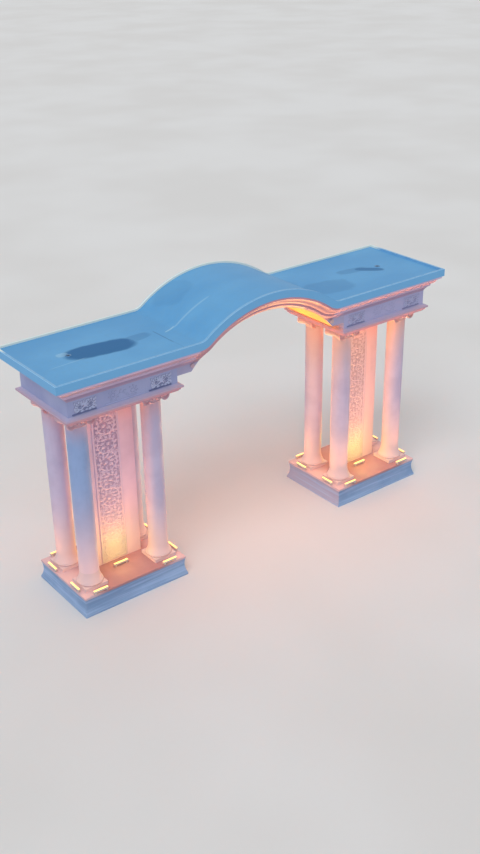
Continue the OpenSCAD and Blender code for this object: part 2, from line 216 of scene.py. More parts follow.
# %% [markdown]
# Every finish starts with a new material, ends with a bump, and may be tinted here and there, so these three moves
# are helpers too.

# %% Start a finish, tint it and give it relief


def start_finish(name):
    """A new material with its tree and its Principled shader."""
    material = bpy.data.materials.new(name)
    material.use_nodes = True
    return material, material.node_tree, material.node_tree.nodes["Principled BSDF"]


def tinted(tree, tone, tints):
    """Lays tints over a tone. Each is a pair: a mask, and the colour that the paint takes there."""
    for mask, tint in tints:
        tone = mix(tree, mask(tree), tone, paint(*tint))
    return tone


def add_relief(tree, shader, height, depth, strength=1.0):
    """Bumps a surface by a height from 0 to 1; depth is in metres."""
    relief = add(tree, "Bump")
    relief.inputs["Distance"].default_value = depth
    relief.inputs["Strength"].default_value = strength
    fill(tree, relief.inputs["Height"], height)
    fill(tree, shader.inputs["Normal"], relief.outputs["Normal"])


def give(material, *names):
    """Puts a material into the slots of solids."""
    for name in names:
        for slot in solids[name].material_slots:
            slot.material = material


print("materials so far:", len(bpy.data.materials))

# %% [markdown]
# ## Effects that several finishes share
# Smooth render, carved plaster and roofing all have grain, rain marks or settled dust, only in different amounts.
# Each effect is built once as a node group with named inputs, and every material that uses the group gives it its
# own values.

# %% A helper that starts a group and one that uses it


def start_group(name, inputs, outputs):
    """A new shader group. inputs gives each one's starting value; outputs gives each one's kind of socket."""
    tree = bpy.data.node_groups.new(name, "ShaderNodeTree")
    for label, value in inputs.items():
        kind = "NodeSocketColor" if isinstance(value, tuple) else "NodeSocketFloat"
        tree.interface.new_socket(label, in_out="INPUT", socket_type=kind).default_value = value
    for label, kind in outputs.items():
        tree.interface.new_socket(label, in_out="OUTPUT", socket_type=kind)
    entry = tree.nodes.new("NodeGroupInput").outputs
    leave = tree.nodes.new("NodeGroupOutput").inputs
    return tree, entry, leave


def use(tree, group, **values):
    made = tree.nodes.new("ShaderNodeGroup")
    made.node_tree = group
    for label, value in values.items():
        fill(tree, made.inputs[label.replace("_", " ")], value)
    return made.outputs


print("groups so far:", len(bpy.data.node_groups))

# %% [markdown]
# **Trowel grain.** A plasterer's float leaves soft waves a hand wide with a sandy grain on top. Two noises of
# different size, added, make that height.

# %% Trowel grain
trowel_grain, entry, leave = start_group("trowel_grain", {"Wave Size": 3.0, "Sand Size": 60.0, "Sand": 0.35},
                                         {"Height": "NodeSocketFloat"})
here = placed(trowel_grain)
waves = clouds(trowel_grain, here, entry["Wave Size"], detail=2)
sand = clouds(trowel_grain, here, entry["Sand Size"], detail=2)
fill(trowel_grain, leave["Height"],
     sums(trowel_grain, "ADD", waves, sums(trowel_grain, "MULTIPLY", sand, entry["Sand"])))
print("trowel_grain has", len(trowel_grain.nodes), "nodes")

# %% [markdown]
# **Rain marks.** Water runs straight down and leaves narrow pale or dark streaks. Noise that is squeezed sideways
# and drawn out in height gives streaks, and a second, broad noise decides where they show.

# %% Rain marks
rain_marks, entry, leave = start_group("rain_marks", {"Narrow": 14.0, "Share": 0.5},
                                       {"Mask": "NodeSocketFloat"})
streaks = clouds(rain_marks, placed(rain_marks, size=(1, 1, 9)), entry["Narrow"], detail=4, roughness=0.6)
broad = clouds(rain_marks, placed(rain_marks, size=(1.7, 1.7, 1.7)), 1.0, detail=1)
streaks = between(rain_marks, streaks, 0.5, 0.72)
broad = between(rain_marks, broad, 0.42, 0.62)
fill(rain_marks, leave["Mask"],
     sums(rain_marks, "MULTIPLY", sums(rain_marks, "MULTIPLY", streaks, broad), entry["Share"]))
print("rain_marks has", len(rain_marks.nodes), "nodes")

# %% [markdown]
# **Settled dust.** Dust lies only where a face looks upwards. The Z of the surface's normal tells that, and noise
# breaks the layer up.

# %% Settled dust
LOOKS_UP = (0.35, 0.95)
settled_dust, entry, leave = start_group("settled_dust", {"Share": 0.5}, {"Mask": "NodeSocketFloat"})
upward = between(settled_dust, part_of(settled_dust, "faces", "Z"), *LOOKS_UP)
patchy = between(settled_dust, clouds(settled_dust, placed(settled_dust), 5.0, detail=4), 0.3, 0.65)
fill(settled_dust, leave["Mask"],
     sums(settled_dust, "MULTIPLY", sums(settled_dust, "MULTIPLY", upward, patchy), entry["Share"]))
print("settled_dust has", len(settled_dust.nodes), "nodes")

# %% [markdown]
# ## Masks for warm and cool places
# The arch's own lamps warm the feet and tops of its columns and its undersides, and the sky cools the rest. That
# light and shade are also painted into the paint there, as tints: painted lamp light and painted shade. A mask says
# where: it turns a place or a direction into a share from 0 to 1. Masks read only the piece's own coordinates and
# normals, so the tints stay put from every side.

# %% Masks by place
LOW_START = 0.1
LIP_RANGE = (0.11, 0.20)
PIER_RANGE = (-1.0, 1.0)
DECK_END_RANGE = (0.75, 1.35)


def low_down(reach, share=0.8):
    """A mask that is strongest at the deck and gone at a height above it."""
    return lambda tree: between(tree, part_of(tree, "place", "Z"), deck_z + LOW_START, deck_z + reach, share, 0.0)


def high_up(reach, share=0.8):
    """A mask that is strongest under the beams and gone a little way below them."""
    return lambda tree: between(tree, part_of(tree, "place", "Z"), beam_z - reach, beam_z, 0.0, share)


def lowest_edge(tree, share=0.9):
    """The bed moulding's lower edge, and all that hangs below it."""
    low, high = (beam_z + rise for rise in LIP_RANGE)
    return between(tree, part_of(tree, "place", "Z"), low, high, share, 0.0)


def far_pier(share):
    """The whole of the right pier, which its lamps light more; tints by this mask are painted lamp light."""
    return lambda tree: between(tree, part_of(tree, "place", "X"), *PIER_RANGE, 0.0, share)


def past_middle(tree):
    """The ends of a pier's deck, beyond the field between the columns."""
    aside = sums(tree, "SUBTRACT", sums(tree, "ABSOLUTE", part_of(tree, "place", "X")), pier_x["right"])
    return between(tree, sums(tree, "ABSOLUTE", aside), *DECK_END_RANGE)


print("low tints start at", round(deck_z + LOW_START, 3), "m, high ones end at", round(beam_z, 3), "m")

# %% Masks by direction, and two masks in one
DOWN_RANGE = (-0.5, -0.1)
UP_RANGE = (0.2, 0.6)
ASIDE_RANGE = (0.9, 0.97)
PASSAGE_RANGE = (-3.0, -1.0)


def facing_down(tree):
    return between(tree, part_of(tree, "faces", "Z"), *DOWN_RANGE, 1.0, 0.0)


def facing_up(tree):
    return between(tree, part_of(tree, "faces", "Z"), *UP_RANGE)


def facing_aside(tree):
    return between(tree, sums(tree, "ABSOLUTE", part_of(tree, "faces", "X")), *ASIDE_RANGE)


def facing_passage(tree):
    """Faces of a pier that look towards the other pier."""
    outward = sums(tree, "MULTIPLY", part_of(tree, "faces", "X"), part_of(tree, "place", "X"))
    return between(tree, outward, *PASSAGE_RANGE, 1.0, 0.0)


def where_both(one, other):
    return lambda tree: sums(tree, "MULTIPLY", one(tree), other(tree))


print("faces count as looking down from a normal's Z of", DOWN_RANGE[1])

# %% [markdown]
# ## Painted render
# Piers, mouldings and vault are brick under smooth render, painted a pale lilac white that turns blue in shade. The
# paint has weathered in soft clouds, with faint streaks below each ledge, and the plinths show the strokes of a wide
# brush. One function makes every variant, because only colours and amounts differ.

# %% Make a painted finish
DUST = (196, 186, 182)
BRUSH_LIFT = 34
BRUSH_STROKE = (3.0, 3.0, 0.1)


def painted(name, colour, faded, marked, cloud_size=0.9, streak=0.35, dust=0.5, bump=0.004, rough=(0.5, 0.72),
            brushed=0.0, tints=()):
    """colour is fresh paint, faded is where it has weathered, marked is where rain has run down."""
    material, tree, shader = start_finish(name)
    cloudy = between(tree, clouds(tree, placed(tree), cloud_size, detail=4), 0.36, 0.66)
    tone = mix(tree, cloudy, paint(*colour), paint(*faded))
    tone = mix(tree, use(tree, rain_marks, Share=streak)["Mask"], tone, paint(*marked))
    tone = tinted(tree, tone, tints)
    if brushed:
        strokes = between(tree, clouds(tree, placed(tree, size=BRUSH_STROKE), 1.6, detail=4), 0.42, 0.66)
        stroked = paint(*(part + BRUSH_LIFT for part in colour))
        tone = mix(tree, sums(tree, "MULTIPLY", strokes, brushed), tone, stroked)
    tone = mix(tree, use(tree, settled_dust, Share=dust)["Mask"], tone, paint(*DUST))
    fill(tree, shader.inputs["Base Color"], tone)
    fill(tree, shader.inputs["Roughness"], between(tree, cloudy, 0, 1, *rough))
    add_relief(tree, shader, use(tree, trowel_grain)["Height"], bump, strength=0.6)
    return material


print("groups ready:", [group.name for group in bpy.data.node_groups])

# %% [markdown]
# ** Beams and vault.** Bed moulding, frieze, crown and vault each get their own mixture: fresh, faded and rain-marked
# paint, then the tints, which are painted light and shade. Undersides of bed moulding and vault are painted warm
# with lamp light, those of crown and arch mouldings darker with shade, and the frieze under the crown is painted
# darker and bluer as shade. The far frieze is paler, with painted lamp light.

# %% Paint the beams and the vault
# Painted light and shade: tops painted duller, undersides and the lower edge warm with lamp light.
wall_paint = painted("wall_paint", (192, 202, 232), (183, 193, 223), (163, 172, 202), dust=0.2,
                     tints=((facing_up, (178, 178, 212)), (facing_down, (208, 160, 170)),
                            (lowest_edge, (184, 142, 162))))
# Painted light and shade: a pinker mixture for the lamps' light, and darker undersides for shade.
crown_paint = painted("crown_paint", (206, 184, 214), (196, 174, 204), (176, 156, 184), dust=0.2,
                      tints=((facing_down, (164, 140, 172)),))
# Painted light and shade: pink for the lamps' light, and darker undersides for shade.
arch_paint = painted("arch_paint", (205, 150, 168), (196, 142, 160), (180, 130, 150), dust=0.2,
                     tints=((facing_down, (148, 122, 150)),))
# Painted lamp light: the vault's underside is orange.
vault_paint = painted("vault_paint", (172, 170, 204), (162, 160, 196), (148, 144, 176), streak=0.1, dust=0.0,
                      tints=((facing_down, (234, 172, 88)),))
# Painted shade: darker and bluer under the crown; the far frieze paler with painted lamp light.
frieze_paint = painted("frieze_paint", (162, 170, 212), (152, 160, 204), (134, 140, 180), streak=0.2, dust=0.1,
                       tints=((far_pier(0.8), (178, 178, 218)),))
# Dark for dirt and as painted shade of the shadow under the ledges; the far ones paler with painted lamp light.
ledge_dirt_and_shade = painted("ledge_dirt_and_shade", (104, 112, 156), (94, 102, 146), (84, 92, 134), streak=0.1, dust=0.0,
                      tints=((far_pier(0.4), (160, 160, 200)),))
give(wall_paint, *both("bed_moulding"))
give(crown_paint, *both("crown_moulding"))
give(arch_paint, "arch_front_moulding", "arch_rear_moulding")
give(vault_paint, "arch_vault")
give(frieze_paint, *both("frieze"))
print("painted beams:", wall_paint.name, crown_paint.name, arch_paint.name, vault_paint.name, frieze_paint.name)

# %% [markdown]
# ** Columns, walls and plinths.** Feet and tops are painted warmer than the middles, as lamp light, and so are the
# far pier's column tops and walls. The column at the corner nearest the camera stands in blue shade, so it has a
# mixture of its own, a painted shade. The plinths' darker blue is painted shade too, with painted warm light on the
# faces towards the passage. Decks are darkest between the columns.

# %% Paint the columns, the walls and the plinths
# Painted lamp light: warm feet and tops, and warmer tops on the far pier.
column_paint = painted("column_paint", (187, 182, 213), (178, 173, 205), (162, 157, 188), cloud_size=1.6, dust=0.2,
                       streak=0.18, tints=((low_down(2.2), (222, 192, 192)), (high_up(0.9), (198, 164, 176)),
                                           (where_both(high_up(2.0, 0.7), far_pier(1.0)), (208, 184, 177))))
# Painted shade: blue for the sky's shade on this column, with painted lamp light at its foot and top.
shady_paint = painted("shady_paint", (142, 167, 212), (134, 159, 204), (122, 144, 188), cloud_size=1.6, dust=0.2,
                      streak=0.18, tints=((low_down(3.2, 0.9), (232, 198, 206)), (high_up(0.9), (206, 174, 194))))
# Painted lamp light: pinker than the columns, warmer on the far pier and at the foot, orange under the beams.
panel_paint = painted("panel_paint", (214, 194, 222), (205, 186, 214), (188, 170, 196), cloud_size=1.6, dust=0.2,
                      streak=0.18, tints=((far_pier(0.5), (226, 200, 192)), (low_down(2.2), (236, 202, 200)),
                                          (high_up(1.1), (226, 160, 154))))
# Painted shade: the plinths' darker blue; and painted warm light on the faces towards the passage.
plinth_paint = painted("plinth_paint", (132, 160, 200), (120, 149, 190), (106, 128, 164), streak=0.1, bump=0.006,
                       dust=0.15, brushed=0.5, tints=((facing_passage, (158, 156, 188)),))
deck_paint = painted("deck_paint", (176, 132, 140), (168, 123, 132), (152, 114, 126), streak=0.0, dust=0.0,
                     tints=((past_middle, (206, 176, 186)),))
give(column_paint, *both("front_outer_column", "front_inner_column", "rear_outer_column", "rear_inner_column"))
give(column_paint, *both("column_bases", "capitals"), "arch_bosses")
give(shady_paint, "left_front_outer_column")
give(panel_paint, *both("panel_wall"))
give(plinth_paint, *both("plinth"))
give(deck_paint, *both("deck"))
print("painted piers:", column_paint.name, shady_paint.name, panel_paint.name, plinth_paint.name, deck_paint.name)

# %% [markdown]
# ## Carved grounds
# A carver cuts the ground between the leaves deeper, where dirt gathers and shade falls, so the ground is painted
# darker, partly for dirt and partly as painted shade, and carving reads as pale lace on a darker ground. How far a
# point lies from the pier's middle plane tells ground from leaf, so the colour can follow that depth.

# %% A finish that darkens with depth
STRIP_SINK = 0.014
SHALLOWEST_WEAR = 0.75


def carved(name, ground_y, reach, pale, shade, tints=()):
    """ground_y is the carved ground's distance from the middle plane, reach how far the leaves stand out."""
    material, tree, shader = start_finish(name)
    depth = sums(tree, "ABSOLUTE", part_of(tree, "place", "Y"))
    raised = between(tree, depth, ground_y, ground_y + reach)
    wander = clouds(tree, placed(tree), 9.0, detail=3)
    worn = sums(tree, "MULTIPLY", raised, between(tree, wander, 0.2, 0.55, SHALLOWEST_WEAR, 1.0))
    # The darker ground is partly dirt and partly painted shade; the tints are painted light.
    tone = tinted(tree, mix(tree, worn, paint(*shade), paint(*pale)), tints)
    fill(tree, shader.inputs["Base Color"], tone)
    fill(tree, shader.inputs["Roughness"], between(tree, raised, 0, 1, 0.8, 0.55))
    add_relief(tree, shader, use(tree, trowel_grain, Sand_Size=140.0)["Height"], 0.002)
    return material


strip_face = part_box("left_carved_strips")[1][1]
strip_ground = strip_face - STRIP_SINK
# Painted lamp light: warmer on the far pier, paler sides, a paler, yellow foot and an orange top.
strip_carving = carved("strip_carving", strip_ground, 0.012, (202, 188, 220), (166, 152, 188),
                       ((far_pier(0.4), (200, 184, 166)), (facing_aside, (230, 214, 236)),
                        (low_down(3.6), (206, 186, 206)), (low_down(1.6, 0.6), (208, 192, 168)),
                        (high_up(1.0, 0.6), (222, 160, 156))))
# Painted lamp light: the far sprays and swirls are paler.
spray_carving = carved("spray_carving", -frieze_front, 0.013, (182, 191, 226), (114, 121, 162),
                       ((far_pier(0.5), (168, 168, 208)),))
swirl_carving = carved("swirl_carving", -frieze_front, 0.008, (174, 182, 224), (110, 118, 162),
                       ((far_pier(0.6), (174, 174, 214)),))
give(strip_carving, *both("carved_strips"))
give(spray_carving, *both("frieze_plaques"))
print("strip ground", round(strip_ground, 3), "frieze ground", round(-frieze_front, 3))

# %% [markdown]
# ## The roof's coating
# The roof and its deep edge are coated in one pale blue sheet. Rain stands near the outlets and leaves a dark damp
# patch, short seams show where the sheet was joined, and the coating is paler where it has worn. Each patch is a
# soft round spot, stretched, turned and frayed by noise.

# %% Spots on the roof
# Each row: middle, half length and half width in metres, turn in degrees, fray, strength.
DAMP_SPOTS = (((-4.22, -0.14), (0.92, 0.4), -6.0, 0.8, 1.0), ((-3.25, -0.1), (0.5, 0.2), 6.0, 0.9, 0.35),
              ((4.66, -0.04), (0.44, 0.14), -40.0, 0.5, 0.8), ((4.2, 0.18), (0.5, 0.18), -8.0, 0.9, 0.35),
              ((2.8, -0.4), (0.8, 0.5), -10.0, 1.2, 0.28), ((1.7, 0.5), (0.7, 0.4), 0.0, 1.4, 0.12),
              ((-1.35, 0.95), (0.5, 0.5), 20.0, 1.4, 0.14))
SEAM_SPOTS = (((-2.64, -0.45), (0.02, 0.5), 0.0, 0.5, 0.5), ((-2.62, -1.05), (0.016, 0.4), 0.0, 0.5, 0.2))
WORN_SPOTS = (((-5.12, 0.12), (0.15, 0.11), 0.0, 0.9, 0.4), ((-2.27, -0.19), (0.2, 0.03), 21.0, 0.5, 0.6),
              ((-1.62, -0.17), (0.62, 0.035), -1.0, 0.6, 0.35), ((-5.25, -0.41), (0.52, 0.022), 3.6, 0.5, 0.3))
SPOT_SQUARENESS = 3.2
SPOT_EDGE = (0.45, 1.15)


def spot(tree, middle, size, turned, fray):
    """A frayed oval mask: 1 inside, 0 outside. size is its half length and half width."""
    where = placed(tree, (*middle, 0), (size[0], size[1], 1.0), turned)
    outwards = [sums(tree, "POWER", sums(tree, "ABSOLUTE", axis_of(tree, where, axis)), SPOT_SQUARENESS)
                for axis in "XY"]
    ragged = sums(tree, "MULTIPLY", clouds(tree, placed(tree), 2.2, detail=4), fray)
    frayed = sums(tree, "ADD", sums(tree, "ADD", *outwards), ragged)
    return between(tree, frayed, SPOT_EDGE[0] + fray / 2, SPOT_EDGE[1] + fray / 2, 1.0, 0.0)


def spots(tree, rows):
    """Several spots in one mask."""
    mask = 0.0
    for middle, size, turned, fray, strength in rows:
        one = sums(tree, "MULTIPLY", spot(tree, middle, size, turned, fray), strength)
        mask = sums(tree, "MAXIMUM", one, mask)
    return mask


print("spots on the roof:", len(DAMP_SPOTS) + len(SEAM_SPOTS) + len(WORN_SPOTS))

# %% [markdown]
# Two more marks follow the roof's shape, and both are painted light. Its upright edge catches more sky and is
# painted paler, and the narrow lip outside the rim is painted paler still, a painted highlight along the edge. The
# rim's box tells where that lip begins.

# %% Coat the roof
ROOF_BLUE, ROOF_FADED, ROOF_GRIME = (86, 156, 209), (99, 168, 217), (104, 156, 195)
DAMP_BLUE, SEAM_BLUE, WORN_BLUE = (34, 98, 152), (52, 100, 150), (168, 208, 232)
# Painted light: EDGE_BLUE for the upright edge's brighter sky light, LIP_BLUE a painted highlight on the lip.
EDGE_BLUE, LIP_BLUE = (112, 176, 226), (172, 220, 250)
LIP_BLEND = 0.004
rim_low, rim_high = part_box("left_roof_rim")
rim_reach = {"X": -rim_low[0], "Y": rim_high[1]}


def roof_coating():
    material, tree, shader = start_finish("roof_coating")
    cloudy = between(tree, clouds(tree, placed(tree, size=(1.6, 1, 1)), 0.55, detail=5), 0.35, 0.68)
    fine = between(tree, clouds(tree, placed(tree), 7.0, detail=4), 0.4, 0.7)
    tone = mix(tree, cloudy, paint(*ROOF_BLUE), paint(*ROOF_FADED))
    tone = mix(tree, sums(tree, "MULTIPLY", fine, 0.2), tone, paint(*ROOF_GRIME))
    damp = spots(tree, DAMP_SPOTS)
    tone = mix(tree, sums(tree, "MULTIPLY", damp, 0.9), tone, paint(*DAMP_BLUE))
    tone = mix(tree, spots(tree, SEAM_SPOTS), tone, paint(*SEAM_BLUE))
    upward = part_of(tree, "faces", "Z")
    tone = mix(tree, between(tree, upward, 0.2, 0.6, 0.7, 0.0), tone, paint(*EDGE_BLUE))
    beyond = [between(tree, sums(tree, "ABSOLUTE", part_of(tree, "place", axis)), reach, reach + LIP_BLEND)
              for axis, reach in rim_reach.items()]
    lip = sums(tree, "MULTIPLY", sums(tree, "MAXIMUM", *beyond), between(tree, upward, 0.6, 0.9, 0.0, 0.8))
    tone = mix(tree, lip, tone, paint(*LIP_BLUE))
    tone = mix(tree, spots(tree, WORN_SPOTS), tone, paint(*WORN_BLUE))
    fill(tree, shader.inputs["Base Color"], tone)
    fill(tree, shader.inputs["Roughness"], between(tree, damp, 0, 1, 0.55, 0.5))
    fill(tree, shader.inputs["Specular IOR Level"], between(tree, damp, 0, 1, 0.5, 0.15))
    add_relief(tree, shader, use(tree, trowel_grain, Wave_Size=1.2, Sand_Size=90.0)["Height"], 0.003, strength=0.5)
    return material


roof_sheet = roof_coating()
give(roof_sheet, "left_roof", "right_roof", "arch_roof")
print("roof coating nodes:", len(roof_sheet.node_tree.nodes))

# %% [markdown]
# ## Painted metal
# The roof's rim is a painted metal angle. At the rear, where its lit face shows, it is painted almost white, a
# painted highlight. The outlets' rings are painted blue and their grates dark, which also paints the shade in the
# outlets' openings. The light bars' housings are pale grey. Metal under paint still shows a soft sheen, with
# scuffs where the paint has dulled.

# %% Make a metal finish
METAL_DUST = (178, 190, 200)
# Where the rim's painted highlight at the rear begins and where it is full.
REAR_HIGHLIGHT_FROM, REAR_HIGHLIGHT_TO = 0.9, 1.3


def painted_metal(name, colour, scuffed, metallic, rough, rear_highlight=None):
    """rough goes from sound to scuffed paint. The last value is a painted highlight, the paint's colour at the rear.
    """
    material, tree, shader = start_finish(name)
    scuffs = between(tree, clouds(tree, placed(tree), 11.0, detail=5, distortion=0.4), 0.45, 0.7)
    tone = mix(tree, scuffs, paint(*colour), paint(*scuffed))
    tone = mix(tree, use(tree, settled_dust, Share=0.2)["Mask"], tone, paint(*METAL_DUST))
    if rear_highlight:
        at_rear = between(tree, part_of(tree, "place", "Y"), REAR_HIGHLIGHT_FROM, REAR_HIGHLIGHT_TO)
        tone = mix(tree, at_rear, tone, paint(*rear_highlight))
    fill(tree, shader.inputs["Base Color"], tone)
    shader.inputs["Metallic"].default_value = metallic
    fill(tree, shader.inputs["Roughness"], between(tree, scuffs, 0, 1, *rough))
    add_relief(tree, shader, scuffs, 0.001)
    return material


# Painted highlight: the rear of the rim is almost white where its lit face shows.
rim_paint = painted_metal("rim_paint", (122, 180, 222), (112, 168, 212), 0.0, (0.4, 0.55),
                          rear_highlight=(232, 240, 232))
outlet_blue = painted_metal("outlet_blue", (88, 140, 184), (60, 96, 134), 0.0, (0.45, 0.6))
# The grates' dark paint also stands for the shade in the outlets' openings, a painted shade.
grate_dark = painted_metal("grate_dark", (36, 48, 72), (52, 66, 92), 0.2, (0.4, 0.55))
housing_grey = painted_metal("housing_grey", (206, 196, 190), (186, 176, 172), 0.1, (0.35, 0.5))
give(rim_paint, "left_roof_rim", "right_roof_rim", "arch_roof_rims")
give(outlet_blue, "roof_outlets")
give(housing_grey, "left_light_bars", "right_light_bars")
print("metal finishes:", rim_paint.name, outlet_blue.name, grate_dark.name, housing_grey.name)

# %% [markdown]
# ## Tools for carving
# Every scroll here, from the vine to the capitals, is the same move: take a small ring, extrude it, turn the new
# ring about the scroll's eye and shrink it a little, and do it again. Turning and shrinking about one point is what
# makes a growing spiral, and the stem thins by itself. Everything is carved flat round the origin first and carried
# to its wall afterwards, because that is far easier to think about.

# %% Finish, move and join pieces, and try out a carving
SHARP_ANGLE = 50


def finish_piece(bm, name, material):
    """Turns a bmesh into a named object that rides on the arch and takes its finish from a slot."""
    bmesh.ops.recalc_face_normals(bm, faces=bm.faces)
    mesh = bpy.data.meshes.new(name)
    bm.to_mesh(mesh)
    bm.free()
    mesh.shade_smooth()
    mesh.set_sharp_from_angle(angle=math.radians(SHARP_ANGLE))
    mesh.materials.append(material)
    piece = bpy.data.objects.new(name, mesh)
    bpy.context.scene.collection.objects.link(piece)
    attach(piece, "root")
    mesh.calc_loop_triangles()
    print(name, "has", len(mesh.loop_triangles), "triangles")
    return piece


def move(bm, matrix):
    bmesh.ops.transform(bm, matrix=matrix, verts=bm.verts)


def join_into(whole, part):
    """Adds a finished bmesh to another one."""
    mesh = bpy.data.meshes.new("part")
    part.to_mesh(mesh)
    part.free()
    whole.from_mesh(mesh)
    bpy.data.meshes.remove(mesh)


def try_out(what, carve, *given):
    """Carves something on its own and prints how many faces it takes."""
    trial = bmesh.new()
    carve(trial, *given)
    print(what, "has", len(trial.faces), "faces")
    trial.free()


try_out("a cube", bmesh.ops.create_cube)

# %% Grow a scroll
STEM_SIDES = 8


def grow_scroll(bm, eye, start_radius, end_radius, turns, stem, start_angle=0.0, hand=1, steps=14, flat=1.0):
    """A stem in the XZ plane that winds in round its eye. hand is 1 or -1, start_angle in degrees."""
    eye = Matrix.Translation(eye)
    first = (eye @ rotation(-start_angle, "Y") @ Matrix.Translation((start_radius, 0, 0))
             @ Matrix.Diagonal((1, flat, 1, 1)))
    ring = bmesh.ops.create_circle(bm, cap_ends=True, segments=STEM_SIDES, radius=stem, matrix=first)["verts"]
    edges = list(dict.fromkeys(edge for vert in ring for edge in vert.link_edges))
    count = max(4, round(turns * steps))
    shrink = (end_radius / start_radius) ** (1 / count)
    step = rotation(-hand * 360 * turns / count, "Y") @ Matrix.Scale(shrink, 4)
    for _ in range(count):
        grown = bmesh.ops.extrude_edge_only(bm, edges=edges)["geom"]
        ring = [part for part in grown if isinstance(part, bmesh.types.BMVert)]
        edges = [part for part in grown if isinstance(part, bmesh.types.BMEdge)]
        edges = [edge for edge in edges if all(vert in ring for vert in edge.verts)]
        bmesh.ops.transform(bm, matrix=step, space=eye.inverted(), verts=ring)
    bmesh.ops.edgeloop_fill(bm, edges=edges)


try_out("a scroll of one and a half turns", grow_scroll, (0, 0, 0), 0.1, 0.03, 1.5, 0.01)

# %% [markdown]
# Two plain shapes turn up again and again. A ball, stretched, is an egg, a button or a flower's petal. A block
# with rounded edges is a ledge, a lamp's cover or a bar of a grate. Leaves stand round an eye, so polar() turns a
# distance and an angle into the place where a leaf starts.

# %% Balls, flowers, rounded blocks and places round an eye
PETAL_TURN = 15
PETAL_WIDTH = 0.75
FLOWER_BUTTON = (0.34, 1.3)


def set_ball(bm, place, half_sizes, around=8, along=4):
    """A stretched ball. half_sizes are its half lengths along X, Y and Z; place moves or turns it."""
    bmesh.ops.create_uvsphere(bm, u_segments=around, v_segments=along, radius=1.0,
                              matrix=place @ Matrix.Diagonal((*half_sizes, 1)))


def set_flower(bm, eye, radius, height, petals=6):
    centre = Matrix.Translation(eye)
    for petal in range(petals):
        outwards = rotation(-(petal * 360 / petals + PETAL_TURN), "Y") @ Matrix.Translation((radius / 2, 0, 0))
        set_ball(bm, centre @ outwards @ rotation(90, "Y"), (radius * PETAL_WIDTH / 2, height, radius / 2))
    wide, thick = FLOWER_BUTTON
    set_ball(bm, centre, (radius * wide, height * thick, radius * wide))


def rounded_block(sizes, offset, segments, top_only=False):
    """A block round the origin with rounded edges, or with only those of its top rounded."""
    bm = bmesh.new()
    bmesh.ops.create_cube(bm, size=1.0, matrix=Matrix.Diagonal((*sizes, 1)))
    edges = [edge for edge in bm.edges if not top_only or all(vert.co.z > 0 for vert in edge.verts)]
    bmesh.ops.bevel(bm, geom=edges, offset=offset, segments=segments, affect="EDGES", profile=0.5, material=-1)
    return bm


def polar(eye, radius, angle):
    """The point at a distance and an angle from an eye, in the XZ plane."""
    angle = math.radians(angle)
    return (eye[0] + radius * math.cos(angle), eye[1], eye[2] + radius * math.sin(angle))


try_out("one flower", set_flower, (0, 0, 0), 0.06, 0.01)

# %% [markdown]
# ## A notched leaf
# Carved vines carry leaves with notched edges. A ring of points is pushed in and out to make the notches, then
# extruded twice, the second time drawn in, so that the leaf swells towards its middle. The last face gets one
# point in its centre, pressed in a little as the leaf's fold.

# %% Set one notched leaf
NOTCH = 0.13
LEAF_LAYERS = ((0.92, 0.55), (0.6, 0.45))
LEAF_FOLD = -0.25
LEAF_FOOT = (0.85, 0, -0.08)


def set_notched_leaf(bm, foot, heading, sizes, notches=7):
    """A carved leaf in the XZ plane. heading is in degrees from X towards Z, sizes are length, width and height."""
    length, width, height = sizes
    ring = bmesh.ops.create_circle(bm, cap_ends=True, segments=4 * notches, radius=1.0)["verts"]
    leaf = list(ring)
    for vert in ring:
        vert.co *= 1 - NOTCH + NOTCH * math.cos(notches * math.atan2(vert.co.y, vert.co.x))
    face = ring[0].link_faces[0]
    for draw_in, rise in LEAF_LAYERS:
        grown = bmesh.ops.extrude_face_region(bm, geom=[face], use_keep_orig=face.verts[0] in ring)["geom"]
        face = next(part for part in grown if isinstance(part, bmesh.types.BMFace))
        raised = [part for part in grown if isinstance(part, bmesh.types.BMVert)]
        lift = Matrix.Translation((0, 0, rise)) @ Matrix.Diagonal((draw_in, draw_in, 1, 1))
        bmesh.ops.transform(bm, matrix=lift, verts=raised)
        leaf += raised
    leaf += bmesh.ops.poke(bm, faces=[face], offset=LEAF_FOLD)["verts"]
    place = (Matrix.Translation(foot) @ rotation(-heading, "Y") @ rotation(90, "X")
             @ Matrix.Diagonal((length / 2, width / 2, height, 1)) @ Matrix.Translation(LEAF_FOOT))
    bmesh.ops.transform(bm, matrix=place, verts=leaf)


def leaves_round(bm, eye, radius, angles, sweep, sizes):
    """A row of leaves that start on a circle. sweep turns each one from the way straight outwards."""
    for angle in angles:
        set_notched_leaf(bm, polar(eye, radius, angle), angle + sweep, sizes)


def keep_inside(bm, half_width, low, high):
    """Presses whatever reaches past the carved field back to its edge."""
    for vert in bm.verts:
        vert.co.x = min(half_width, max(-half_width, vert.co.x))
        vert.co.z = min(high, max(low, vert.co.z))


try_out("one notched leaf", set_notched_leaf, (0, 0, 0), 0, (0.1, 0.06, 0.01))

# %% [markdown]
# ## The vines on the carved strips
# Each wall carries a tall strip of dense carving. A stem runs up it in waves, and in each wave a scroll winds in
# round a flower, with leaves in every gap. A whole strip could be one long drawing, but one wave is enough: it is
# carved once, and its copies are mirrored in turn and stacked up the strip, as a carver repeats a template.

# %% Carve one wave of the vine
VINE_LIFT = 0.016
VINE_STEM = 0.024
VINE_EYE = (0.045, 0, 0)
VINE_EYE_RADIUS = 0.215
VINE_EYE_START = -100
WAVE_MIDDLE = (0, 0, 0.02)
WAVE_RADIUS = 0.262
CURL_ASIDE, CURL_UP = 0.27, 0.222
